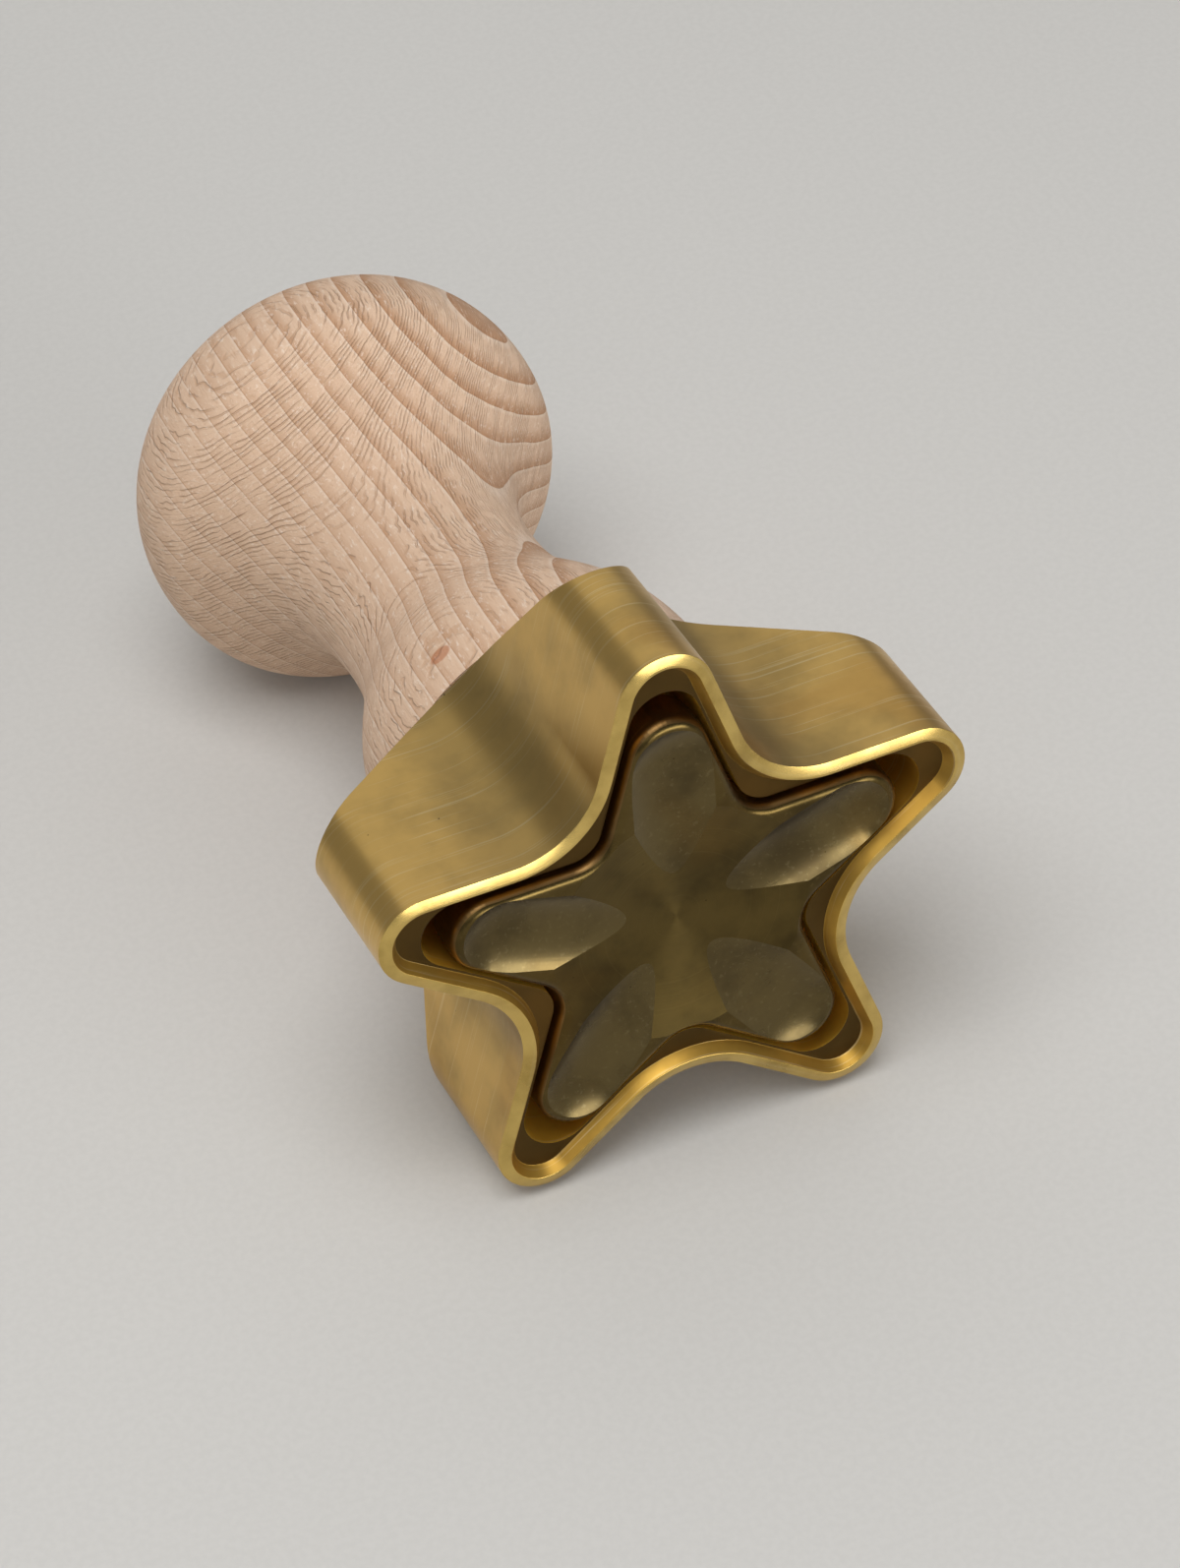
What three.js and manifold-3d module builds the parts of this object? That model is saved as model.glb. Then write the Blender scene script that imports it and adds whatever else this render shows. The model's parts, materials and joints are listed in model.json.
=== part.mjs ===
// Ravioli stamp: a star-shaped brass cutter with a sprung flower plate inside it and a turned beech handle.
// Every piece is drawn upright on the stamp's axis (+Z), with the cutting rim on z = 0 and the knob above.
// The whole stamp is then laid down on two of its star tips and its knob, as it lies on a table.
import * as THREE from 'three';
import { mergeVertices } from 'three/addons/utils/BufferGeometryUtils.js';
import Module from 'manifold-3d';

const wasm = await Module();
wasm.setup();

// Driving dimensions in millimetres.

// Star outline of the cutter.
const POINTS = 5;
const TIP_RADIUS = 33;
const VALLEY_RADIUS = 19.2;
const TIP_ROUND = 5.1;
const VALLEY_ROUND = 9.8;

// Cutter body along its axis.
const TIP_WALL_HEIGHT = 16;
const WEB_THICKNESS = 5.2;

// Cutting rim, the slope inside its lip, and the ledge round the opening.
const RIM_BEVEL_WIDTH = 1;
const RIM_BEVEL_DROP = 0.4;
const RIM_LAND = 0.3;
const LIP_SLOPE_WIDTH = 0.8;
const LEDGE_WIDTH = 0.3;
const LEDGE_DEPTH = 1.2;
const OPENING_TIP_ROUND = 3.8;
const OPENING_VALLEY_ROUND = 3.6;

// Ejector plate with its dish and petals.
const PLATE_CLEARANCE = 0.55;
const PLATE_TIP_ROUND = 4.3;
const PLATE_RECESS = 0.1;
const PLATE_THICKNESS = 5.7;
const PLATE_EDGE_ROUND = 1.2;
const DISH_RADIUS = 13.9;
const DISH_DEPTH = 1.44;
const PETAL_DEPTH = 1.2;
const PETAL_HALF_WIDTH = 4.4;
const PETAL_END = 24;
const BOSS_WALL = 2.2;
const BOSS_HEIGHT = 3;
const SOCKET_DEPTH = 4.6;

// Ejector stem, its stop and its travel.
const EJECTOR_TRAVEL = 8;
const TRAVEL_MARGIN = 0.7;
const STEM_RADIUS = 2.5;
const STEM_TAIL = 2;
const STOP_WASHER_THICKNESS = 1.2;
const STEM_NUT_WALL = 1.2;
const STEM_NUT_HEIGHT = 3.2;
const STEM_LOCK_NUT_HEIGHT = 2.7;

// Return spring.
const SPRING_WIRE = 1.2;
const SPRING_TURNS = 4.5;
const SPRING_SPARE = 0.1;

// Bush that guides the stem, and the spigot that carries the handle.
const BUSH_WALL = 2.9;
const BUSH_LENGTH = 11;
const SPIGOT_WALL = 2;
const SPIGOT_FLANGE_LIP = 3;
const SPIGOT_FLANGE_THICKNESS = 2.2;
const SPIGOT_NUT_WALL = 2.7;
const SPIGOT_NUT_HEIGHT = 5;
const INSERT_WALL = 2.2;
const INSERT_LENGTH = 8;

// Turned handle, measured along its axis.
const BASE_WALL = 5.7;
const BASE_LIP = 1.2;
const NECK_RADIUS = 12.1;
const NECK_HEIGHT = 30.5;
const KNOB_RADIUS = 23.4;
const KNOB_RISE = 26.7;
const KNOB_CROWN = 13.8;
const CROWN_FLAT_RADIUS = 6.8;
const STEM_WELL_MARGIN = 2;

// Fits between neighbouring pieces.
const FIT_GAP = 0.3;
const RUNNING_GAP = 0.3;
const BORE_CLEARANCE = 0.6;
const SPRING_CLEARANCE = 0.8;

// Fineness of the round surfaces.
const ARC_STEPS = 9;
const TURN_STEPS = 48;
const SMALL_TURN_STEPS = 28;
const PROFILE_STEPS = 14;
const DISH_STEPS = 6;
const PETAL_STEPS = 16;
const EDGE_ROUND_STEPS = 3;
const COIL_STEPS = 8;
const WIRE_SIDES = 5;

// Widths of the star outlines, inward from the cutter's side walls.
const lipWall = RIM_BEVEL_WIDTH + RIM_LAND;
const openingOffset = lipWall + LIP_SLOPE_WIDTH + LEDGE_WIDTH;
const plateOffset = openingOffset + PLATE_CLEARANCE;

// Radii about the stamp's axis, from the stem outward.
const stemHole = STEM_RADIUS + FIT_GAP;
const bossRadius = stemHole + BOSS_WALL;
const springRadius = bossRadius + SPRING_CLEARANCE + SPRING_WIRE / 2;
const bushBore = STEM_RADIUS + RUNNING_GAP;
const bushRadius = bushBore + BUSH_WALL;
const spigotBore = bushRadius + FIT_GAP;
const spigotRadius = spigotBore + SPIGOT_WALL;
const spigotHole = spigotRadius + FIT_GAP;
const flangeRadius = spigotRadius + SPIGOT_FLANGE_LIP;
const springWellRadius = flangeRadius + BORE_CLEARANCE;
const insertRadius = spigotHole + INSERT_WALL;
const stemNutFlats = 2 * (stemHole + STEM_NUT_WALL);
const spigotNutFlats = 2 * (spigotHole + SPIGOT_NUT_WALL);
const nutRecess = spigotNutFlats / 2 / Math.cos(Math.PI / 6) + BORE_CLEARANCE;
const seatRadius = nutRecess + BASE_WALL;

// Heights along the stamp's axis, from the rim up.
const plateBack = PLATE_RECESS + PLATE_THICKNESS;
const bossEnd = plateBack + BOSS_HEIGHT;
const pocketFloor = plateBack + EJECTOR_TRAVEL + TRAVEL_MARGIN;
const springSeat = pocketFloor + SPRING_TURNS * SPRING_WIRE + SPRING_SPARE;
const flangeBack = springSeat + SPIGOT_FLANGE_THICKNESS;
const bodyLength = flangeBack + FIT_GAP + WEB_THICKNESS;
const spigotNutFront = bodyLength + FIT_GAP;
const spigotNutEnd = spigotNutFront + SPIGOT_NUT_HEIGHT;
const insertFront = spigotNutEnd + FIT_GAP;
const spigotEnd = insertFront + INSERT_LENGTH;
const bushEnd = springSeat + BUSH_LENGTH;
const stopWasherFront = bushEnd + FIT_GAP;
const stopWasherEnd = stopWasherFront + STOP_WASHER_THICKNESS;
const stemNutFront = stopWasherEnd + FIT_GAP;
const stemNutEnd = stemNutFront + STEM_NUT_HEIGHT;
const stemLockNutFront = stemNutEnd + FIT_GAP;
const stemLockNutEnd = stemLockNutFront + STEM_LOCK_NUT_HEIGHT;
const stemFront = bossEnd - SOCKET_DEPTH + FIT_GAP;
const stemEnd = stemLockNutEnd + STEM_TAIL;
const stemWellEnd = stemEnd + EJECTOR_TRAVEL + STEM_WELL_MARGIN;
const handleBase = bodyLength + FIT_GAP;
const neckHeight = handleBase + NECK_HEIGHT;
const knobHeight = neckHeight + KNOB_RISE;
const crownHeight = knobHeight + KNOB_CROWN;
const coneSlope = (bodyLength - TIP_WALL_HEIGHT) / (TIP_RADIUS - seatRadius);

// How far a cutting form runs past the surface that it cuts.
const overcut = 2;

/** A closed geometry as a solid that can be joined and cut. */
function solid(geometry) {
  const bare = geometry.clone();
  bare.deleteAttribute('normal');
  bare.deleteAttribute('uv');
  const merged = mergeVertices(bare, 1e-4);
  const vertProperties = Float32Array.from(merged.attributes.position.array);
  const triVerts = Uint32Array.from(merged.index.array);
  return new wasm.Manifold(new wasm.Mesh({ numProp: 3, vertProperties, triVerts }));
}

/** A joined or cut solid as a geometry. */
function geometryOf(body) {
  const mesh = body.getMesh();
  const geometry = new THREE.BufferGeometry();
  geometry.setAttribute('position', new THREE.BufferAttribute(mesh.vertProperties, 3));
  geometry.setIndex(new THREE.BufferAttribute(mesh.triVerts, 1));
  geometry.computeVertexNormals();
  return geometry;
}

/** A turned shape about +Z from a closed or axis-to-axis profile of [radius, height] points. */
function turned(profile, steps = SMALL_TURN_STEPS) {
  const points = profile.map(([radius, height]) => new THREE.Vector2(radius, height));
  return new THREE.LatheGeometry(points, steps).rotateX(Math.PI / 2);
}

/** A turned sleeve between two heights. */
function sleeve(inner, outer, low, high) {
  return turned([[inner, low], [outer, low], [outer, high], [inner, high], [inner, low]]);
}

/** A turned rod between two heights. */
function rod(radius, low, high) {
  return turned([[0, low], [radius, low], [radius, high], [0, high]]);
}

/** A flat outline carried straight up from one height to another. */
function prism(shape, low, high) {
  const options = { depth: high - low, bevelEnabled: false, curveSegments: ARC_STEPS };
  return new THREE.ExtrudeGeometry(shape, options).translate(0, 0, low);
}

/** A flat outline carried up with both its end edges drawn in by a bevel. */
function bevelledPrism(shape, low, high, width, drop, segments = 1) {
  const options = {
    depth: high - low - 2 * drop,
    bevelEnabled: true,
    bevelSize: width,
    bevelOffset: -width,
    bevelThickness: drop,
    bevelSegments: segments,
    curveSegments: ARC_STEPS,
  };
  return new THREE.ExtrudeGeometry(shape, options).translate(0, 0, low + drop);
}

/** The straight side of the star beside a tip: the angle of its normal and its distance from the axis. */
function starSide() {
  const half = Math.PI / POINTS;
  const tip = new THREE.Vector2(TIP_RADIUS - TIP_ROUND, 0);
  const reach = VALLEY_RADIUS + VALLEY_ROUND;
  const valley = new THREE.Vector2(reach * Math.cos(half), reach * Math.sin(half));
  const across = valley.clone().sub(tip);
  const normal = across.angle() - Math.acos((TIP_ROUND + VALLEY_ROUND) / across.length());
  return { normal, distance: tip.x * Math.cos(normal) + TIP_ROUND };
}

/** Star outline whose straight sides lie inset from the cutter's own, with its own tip and valley rounds. */
function starOutline(inset, tipRound, valleyRound) {
  const { normal, distance } = starSide();
  const half = Math.PI / POINTS;
  const tipCentre = (distance - inset - tipRound) / Math.cos(normal);
  const valleyCentre = (distance - inset + valleyRound) / Math.cos(normal - half);
  const shape = new THREE.Shape();
  for (let point = 0; point < POINTS; point += 1) {
    const tip = -Math.PI / 2 + 2 * half * point;
    const valley = tip + half;
    const tipX = tipCentre * Math.cos(tip);
    const tipY = tipCentre * Math.sin(tip);
    shape.absarc(tipX, tipY, tipRound, tip - normal, tip + normal, false);
    const valleyX = valleyCentre * Math.cos(valley);
    const valleyY = valleyCentre * Math.sin(valley);
    const open = half - normal;
    shape.absarc(valleyX, valleyY, valleyRound, valley + Math.PI - open, valley + Math.PI + open, true);
  }
  shape.closePath();
  return shape;
}

/** Hexagon outline with a round hole. */
function hexOutline(flats, holeRadius) {
  const corner = flats / 2 / Math.cos(Math.PI / 6);
  const shape = new THREE.Shape();
  for (let side = 0; side < 6; side += 1) {
    const angle = side * Math.PI / 3;
    const step = side === 0 ? 'moveTo' : 'lineTo';
    shape[step](corner * Math.cos(angle), corner * Math.sin(angle));
  }
  shape.closePath();
  const hole = new THREE.Path();
  hole.absarc(0, 0, holeRadius, 0, 2 * Math.PI, true);
  shape.holes.push(hole);
  return shape;
}

/** Brass star body: bevelled rim, sloped lip, ledge, plate pocket, spring well, and a coned back. */
function cutterBody() {
  const outline = starOutline(0, TIP_ROUND, VALLEY_ROUND);
  const recess = starOutline(lipWall, TIP_ROUND - lipWall, VALLEY_ROUND + lipWall);
  const opening = starOutline(openingOffset, OPENING_TIP_ROUND, OPENING_VALLEY_ROUND);
  const block = bevelledPrism(outline, 0, bodyLength + overcut, RIM_BEVEL_WIDTH, RIM_BEVEL_DROP);
  const lip = bevelledPrism(recess, -LEDGE_DEPTH - overcut, LEDGE_DEPTH, LIP_SLOPE_WIDTH, LEDGE_DEPTH);
  const envelope = turned([
    [0, -overcut],
    [TIP_RADIUS + overcut, -overcut],
    [TIP_RADIUS + overcut, TIP_WALL_HEIGHT - overcut * coneSlope],
    [seatRadius, bodyLength],
    [0, bodyLength],
  ], 2 * TURN_STEPS);
  return solid(block)
    .intersect(solid(envelope))
    .subtract(solid(lip))
    .subtract(solid(prism(opening, -overcut, pocketFloor)))
    .subtract(solid(rod(springWellRadius, pocketFloor - overcut, flangeBack + FIT_GAP)))
    .subtract(solid(rod(spigotHole, flangeBack - overcut, bodyLength + overcut)));
}

/** Cutting form of one petal: a ball-ended groove that runs from the axis out along an arm. */
function petalCutter(angle) {
  const radius = (PETAL_HALF_WIDTH ** 2 + PETAL_DEPTH ** 2) / (2 * PETAL_DEPTH);
  const run = PETAL_END - PETAL_HALF_WIDTH;
  const groove = new THREE.CapsuleGeometry(radius, run, PETAL_STEPS, 2 * TURN_STEPS);
  groove.translate(0, run / 2, PLATE_RECESS + PETAL_DEPTH - radius);
  return groove.rotateZ(angle);
}

/** Cutting form of the dish: the cap of a large ball. */
function dishCutter() {
  const radius = (DISH_RADIUS ** 2 + DISH_DEPTH ** 2) / (2 * DISH_DEPTH);
  const sweep = Math.acos(1 - (DISH_DEPTH + overcut) / radius);
  const profile = [[0, PLATE_RECESS - overcut]];
  for (let step = DISH_STEPS; step >= 0; step -= 1) {
    const angle = sweep * step / DISH_STEPS;
    profile.push([radius * Math.sin(angle), PLATE_RECESS + DISH_DEPTH - radius * (1 - Math.cos(angle))]);
  }
  return turned(profile, TURN_STEPS);
}

/** Brass star plate with a round dish, a petal along each arm, and a socketed boss for the stem. */
function ejectorPlate() {
  const outline = starOutline(plateOffset, PLATE_TIP_ROUND, OPENING_VALLEY_ROUND + PLATE_CLEARANCE);
  const round = PLATE_EDGE_ROUND;
  const blank = bevelledPrism(outline, PLATE_RECESS, plateBack, round, round, EDGE_ROUND_STEPS);
  let plate = solid(blank)
    .add(solid(rod(bossRadius, plateBack - PLATE_EDGE_ROUND, bossEnd)))
    .subtract(solid(rod(stemHole, bossEnd - SOCKET_DEPTH, bossEnd + overcut)))
    .subtract(solid(dishCutter()));
  for (let point = 0; point < POINTS; point += 1) {
    plate = plate.subtract(solid(petalCutter(Math.PI + 2 * Math.PI * point / POINTS)));
  }
  return plate;
}

/** Centre line of the return spring, at rest between the plate and its seat. */
class SpringLine extends THREE.Curve {
  getPoint(t, target = new THREE.Vector3()) {
    const low = plateBack + FIT_GAP + SPRING_WIRE / 2;
    const high = springSeat - FIT_GAP - SPRING_WIRE / 2;
    const angle = 2 * Math.PI * SPRING_TURNS * t;
    const x = springRadius * Math.cos(angle);
    const y = springRadius * Math.sin(angle);
    return target.set(x, y, low + (high - low) * t);
  }
}

/** Return spring as one round wire wound along its line. */
function returnSpring() {
  const section = new THREE.Shape();
  for (let side = 0; side < WIRE_SIDES; side += 1) {
    const angle = 2 * Math.PI * side / WIRE_SIDES;
    const step = side === 0 ? 'moveTo' : 'lineTo';
    section[step](SPRING_WIRE / 2 * Math.cos(angle), SPRING_WIRE / 2 * Math.sin(angle));
  }
  section.closePath();
  const steps = Math.round(SPRING_TURNS * COIL_STEPS);
  return new THREE.ExtrudeGeometry(section, { steps, extrudePath: new SpringLine(), bevelEnabled: false });
}

/** Least gap between the spring's turns, measured on points along its line. */
function springGap() {
  const points = new SpringLine().getPoints(SPRING_TURNS * COIL_STEPS * 4);
  const turnPoints = COIL_STEPS * 4;
  let least = Infinity;
  for (let i = 0; i < points.length; i += 1) {
    for (let j = i + turnPoints / 2; j < points.length; j += 1) {
      least = Math.min(least, points[i].distanceTo(points[j]));
    }
  }
  return least - SPRING_WIRE;
}

/** Outer profile of the handle as [radius, height] points from the base edge up to the crown. */
function handleProfile() {
  const path = new THREE.Path();
  path.moveTo(seatRadius, handleBase + BASE_LIP);
  path.bezierCurveTo(
    seatRadius, handleBase + 0.53 * NECK_HEIGHT,
    NECK_RADIUS, neckHeight - 0.5 * NECK_HEIGHT,
    NECK_RADIUS, neckHeight,
  );
  path.bezierCurveTo(
    NECK_RADIUS, neckHeight + 0.8 * KNOB_RISE,
    KNOB_RADIUS, knobHeight - 0.44 * KNOB_RISE,
    KNOB_RADIUS, knobHeight,
  );
  path.bezierCurveTo(
    KNOB_RADIUS, knobHeight + 0.76 * KNOB_CROWN,
    CROWN_FLAT_RADIUS + 0.42 * (KNOB_RADIUS - CROWN_FLAT_RADIUS), crownHeight,
    CROWN_FLAT_RADIUS, crownHeight,
  );
  return path.getPoints(PROFILE_STEPS).map((point) => [point.x, point.y]);
}

/** Beech handle: turned outside, bored inside for the spigot nut, the insert and the stem. */
function handle() {
  const insertHole = insertRadius + FIT_GAP;
  return turned([
    [0, stemWellEnd],
    [spigotBore, stemWellEnd],
    [spigotBore, spigotEnd + FIT_GAP],
    [insertHole, spigotEnd + FIT_GAP],
    [insertHole, spigotNutEnd],
    [nutRecess, spigotNutEnd],
    [nutRecess, handleBase],
    [seatRadius, handleBase],
    ...handleProfile(),
    [0, crownHeight],
  ], TURN_STEPS);
}

/** Flanged brass spigot: its flange seats the spring, and its shank carries the handle. */
function handleSpigot() {
  return turned([
    [spigotBore, springSeat],
    [flangeRadius, springSeat],
    [flangeRadius, flangeBack],
    [spigotRadius, flangeBack],
    [spigotRadius, spigotEnd],
    [spigotBore, spigotEnd],
    [spigotBore, springSeat],
  ], TURN_STEPS);
}

/** Tilt that brings the knob down to the table when the stamp lies on two of its star tips. */
function restTilt() {
  const lowest = (TIP_RADIUS - TIP_ROUND) * Math.cos(Math.PI / POINTS) + TIP_ROUND;
  const aside = (TIP_RADIUS - TIP_ROUND) * Math.sin(Math.PI / POINTS);
  const wallEnd = TIP_WALL_HEIGHT + coneSlope * (TIP_RADIUS - Math.hypot(lowest, aside));
  const tilts = handleProfile().map(([radius, height]) => Math.atan2(lowest - radius, height - wallEnd));
  return Math.min(...tilts);
}

const BRASS = { color: 0xa8905a, roughness: 0.38, metalness: 1 };
const DARK_BRASS = { color: 0x7d6a45, roughness: 0.45, metalness: 1 };
const BEECH = { color: 0xdcb896, roughness: 0.7, metalness: 0 };
const STEEL = { color: 0x9a9c9e, roughness: 0.35, metalness: 1 };

/** One named piece with a finish of its own. */
function piece(name, geometry, finish) {
  const mesh = new THREE.Mesh(geometry, new THREE.MeshStandardMaterial(finish));
  mesh.name = name;
  return mesh;
}

const stemNut = hexOutline(stemNutFlats, stemHole);
const spigotNut = hexOutline(spigotNutFlats, spigotHole);
const stopWasherRadius = spigotBore - BORE_CLEARANCE;

const fixed = new THREE.Group();
fixed.add(
  piece('cutter_body', geometryOf(cutterBody()), BRASS),
  piece('handle_spigot', handleSpigot(), BRASS),
  piece('spigot_nut', prism(spigotNut, spigotNutFront, spigotNutEnd), BRASS),
  piece('guide_bush', sleeve(bushBore, bushRadius, springSeat, bushEnd), BRASS),
  piece('handle_insert', sleeve(spigotHole, insertRadius, insertFront, spigotEnd), BRASS),
  piece('handle', handle(), BEECH),
);

const ejector = new THREE.Group();
ejector.add(
  piece('ejector_plate', geometryOf(ejectorPlate()), DARK_BRASS),
  piece('ejector_stem', rod(STEM_RADIUS, stemFront, stemEnd), STEEL),
  piece('return_spring', returnSpring(), STEEL),
  piece('stop_washer', sleeve(stemHole, stopWasherRadius, stopWasherFront, stopWasherEnd), STEEL),
  piece('stem_nut', prism(stemNut, stemNutFront, stemNutEnd), STEEL),
  piece('stem_lock_nut', prism(stemNut, stemLockNutFront, stemLockNutEnd), STEEL),
);
console.log(`least gap between spring turns: ${springGap().toFixed(2)} mm`);

const stamp = new THREE.Group();
stamp.add(fixed, ejector);
stamp.rotation.x = -Math.PI / 2 - restTilt();
const reach = new THREE.Box3().setFromObject(stamp, true);
const middle = reach.getCenter(new THREE.Vector3());
stamp.position.set(-middle.x, -middle.y, -reach.min.z);

const root = new THREE.Group();
root.add(stamp);
export default root;
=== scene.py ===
"""Star ravioli stamp: a brass cutter, its sprung flower plate and a turned beech handle, on the CAD frame.

Sizes are millimetres in the stamp's own upright frame: +Z runs from the cutting rim to the knob, +X is to
the right, and +Y points down when the stamp lies on the table. Placement carries a finished mesh to the row
frame, in metres.
"""

import json
import logging
import math
from dataclasses import dataclass
from enum import Enum, IntEnum
from typing import Any, Callable, Sequence

import bmesh
import bpy
from mathutils import Matrix, Quaternion, Vector
from mathutils.geometry import interpolate_bezier


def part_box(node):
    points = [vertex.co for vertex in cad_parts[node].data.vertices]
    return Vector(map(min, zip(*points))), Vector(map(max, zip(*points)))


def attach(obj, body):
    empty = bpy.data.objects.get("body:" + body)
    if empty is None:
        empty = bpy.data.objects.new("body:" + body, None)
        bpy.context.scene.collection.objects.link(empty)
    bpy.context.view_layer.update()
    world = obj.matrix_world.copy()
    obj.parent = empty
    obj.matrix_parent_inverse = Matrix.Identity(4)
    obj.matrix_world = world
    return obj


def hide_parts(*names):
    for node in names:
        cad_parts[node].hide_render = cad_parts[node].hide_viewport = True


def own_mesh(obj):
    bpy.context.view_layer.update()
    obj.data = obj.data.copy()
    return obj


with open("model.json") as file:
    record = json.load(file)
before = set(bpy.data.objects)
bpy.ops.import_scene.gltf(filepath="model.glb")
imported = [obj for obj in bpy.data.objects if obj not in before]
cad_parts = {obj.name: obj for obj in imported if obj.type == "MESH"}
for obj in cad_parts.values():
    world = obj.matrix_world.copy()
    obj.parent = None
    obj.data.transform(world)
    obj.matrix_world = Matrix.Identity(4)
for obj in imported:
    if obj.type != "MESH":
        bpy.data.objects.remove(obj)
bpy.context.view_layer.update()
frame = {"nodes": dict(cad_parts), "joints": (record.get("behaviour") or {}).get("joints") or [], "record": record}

MM = 0.001
LOG = logging.getLogger("ravioli_stamp")

Band = tuple[float, float]
Triple = tuple[float, float, float]
Socket = bpy.types.NodeSocket
Piece = bpy.types.Object
Shell = bmesh.types.BMesh

# The stamp's axis in its upright frame, and the distance below which two points count as one.
ORIGIN = (0.0, 0.0, 0.0)
AXIS = (0.0, 0.0, 1.0)
TOLERANCE = 1e-4

# Sockets of the colour form of Blender's Mix node.
MIX_FACTOR, MIX_FIRST, MIX_SECOND, MIX_RESULT = 0, 6, 7, 2

# Nearly all values of a noise lie in this band.
NOISE_BAND = (0.3, 0.7)
NOISE_RANGE = {"From Min": NOISE_BAND[0], "From Max": NOISE_BAND[1]}


class Body(Enum):
    """The CAD bodies that a piece can ride on."""

    STAMP = "stamp"
    EJECTOR = "ejector"


class Slot(Enum):
    """The record's material slots."""

    CUTTER = "cutter_brass"
    PLATE = "plate_brass"
    BEECH = "beech"
    STEEL = "steel"


def linear(code: str) -> tuple[float, float, float, float]:
    """Turns an sRGB hex colour into linear red, green and blue, with an alpha of 1."""
    shares = [int(code[at:at + 2], 16) / 255 for at in (1, 3, 5)]
    return (*[s / 12.92 if s <= 0.04045 else ((s + 0.055) / 1.055) ** 2.4 for s in shares], 1.0)


@dataclass(frozen=True)
class Placement:
    """Where the stamp lies in the row frame: its rim's middle, in metres, and the way its axis points."""

    rim: Vector
    axis: Vector

    @classmethod
    def of_frame(cls) -> "Placement":
        """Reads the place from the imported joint, the rim's mount and the stem, which lies on the axis.

        Returns:
            The stamp's placement.
        """
        axis = Vector(frame["joints"][0]["axis"]).normalized()
        mount = Vector(frame["record"]["mounts"][0]["pos_m"])
        low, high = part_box("ejector_stem")
        middle = (low + high) / 2
        return cls(middle - axis * (middle - mount).dot(axis), axis)

    def turn(self) -> Matrix:
        """Rotation from the upright frame to the row frame."""
        right = Vector((1, 0, 0))
        return Matrix((right, self.axis.cross(right), self.axis)).transposed()

    def matrix(self) -> Matrix:
        """Transform from upright millimetres to row-frame metres."""
        return Matrix.Translation(self.rim) @ self.turn().to_4x4() @ Matrix.Scale(MM, 4)

    def texture_space(self, axes: Matrix, origin: Vector) -> dict[str, Any]:
        """Mapping values that bring Object coordinates to millimetres in a frame of the stamp.

        Args:
            axes: The frame's axes in upright directions, one in each row.
            origin: The frame's origin in upright millimetres.

        Returns:
            Location, rotation and scale for a Mapping node.
        """
        back = axes @ self.turn().transposed()
        scale = 1 / MM
        return {
            "Location": -(back @ self.rim) * scale - axes @ origin,
            "Rotation": back.to_euler("XYZ"),
            "Scale": (scale, scale, scale),
        }


class ShaderGraph:
    """A material whose node tree grows one node at a time."""

    def __init__(self, name: str) -> None:
        """Starts a material with its Principled surface.

        Args:
            name: The material's name.
        """
        self.material = bpy.data.materials.new(name)
        self.material.use_nodes = True
        self.tree = self.material.node_tree
        self.surface = self.tree.nodes["Principled BSDF"]

    def add(self, kind: str, inputs: dict[str | int, Any], output: str | int = 0, **settings: Any) -> Socket:
        """Adds a node.

        Args:
            kind: Blender's name of the node type.
            inputs: What each input takes: another node's output socket, or a constant.
            output: The output that is wanted.
            settings: Values of the node's own properties.

        Returns:
            The wanted output socket of the new node.
        """
        node = self.tree.nodes.new(kind)
        for name, value in settings.items():
            setattr(node, name, value)
        self.feed(node, inputs)
        return node.outputs[output]

    def feed(self, node: bpy.types.Node, inputs: dict[str | int, Any]) -> None:
        """Links or sets the inputs of a node.

        Args:
            node: The node.
            inputs: What each input takes: another node's output socket, or a constant.
        """
        for key, value in inputs.items():
            if isinstance(value, Socket):
                self.tree.links.new(value, node.inputs[key])
            else:
                node.inputs[key].default_value = value

    def space(self, place: Placement, axes: Matrix = Matrix.Identity(3),
              origin: Vector = Vector(ORIGIN)) -> Socket:
        """Coordinates of the surface point in millimetres, upright or in another frame of the stamp."""
        source = self.add("ShaderNodeTexCoord", {}, "Object")
        return self.add("ShaderNodeMapping", {"Vector": source, **place.texture_space(axes, origin)})

    def axis_distance(self, space: Socket) -> Socket:
        """Distance from the Z axis of a space."""
        flat = self.add("ShaderNodeVectorMath", {0: space, 1: (1.0, 1.0, 0.0)}, operation="MULTIPLY")
        return self.add("ShaderNodeVectorMath", {0: flat}, "Value", operation="LENGTH")

    def grain(self, space: Socket, size: Sequence[float], **options: Any) -> Socket:
        """Noise around 0.5, with features of the given length along each axis of a space."""
        scaled = self.add("ShaderNodeMapping", {"Vector": space, "Scale": [1 / length for length in size]})
        return self.add("ShaderNodeTexNoise", {"Vector": scaled, "Scale": 1.0, **options}, "Fac")

    def tint(self, colour: Any, second: str, pattern: Socket, band: Band, share: Any) -> Socket:
        """Lays a second colour over a first one, where a pattern says.

        Args:
            colour: The first colour, as a socket or in linear light.
            second: The second colour, as sRGB hex.
            pattern: Value that says how much of the second colour shows.
            band: The pattern's values at which none of it and its full share show.
            share: The full share, as a socket or a number.

        Returns:
            The tinted colour.
        """
        amount = self.add("ShaderNodeMapRange", {
            "Value": pattern,
            "From Min": band[0],
            "From Max": band[1],
            "To Min": 0.0,
            "To Max": share,
        }, interpolation_type="SMOOTHSTEP")
        inputs = {MIX_FACTOR: amount, MIX_FIRST: colour, MIX_SECOND: linear(second)}
        return self.add("ShaderNodeMix", inputs, MIX_RESULT, data_type="RGBA")


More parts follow.
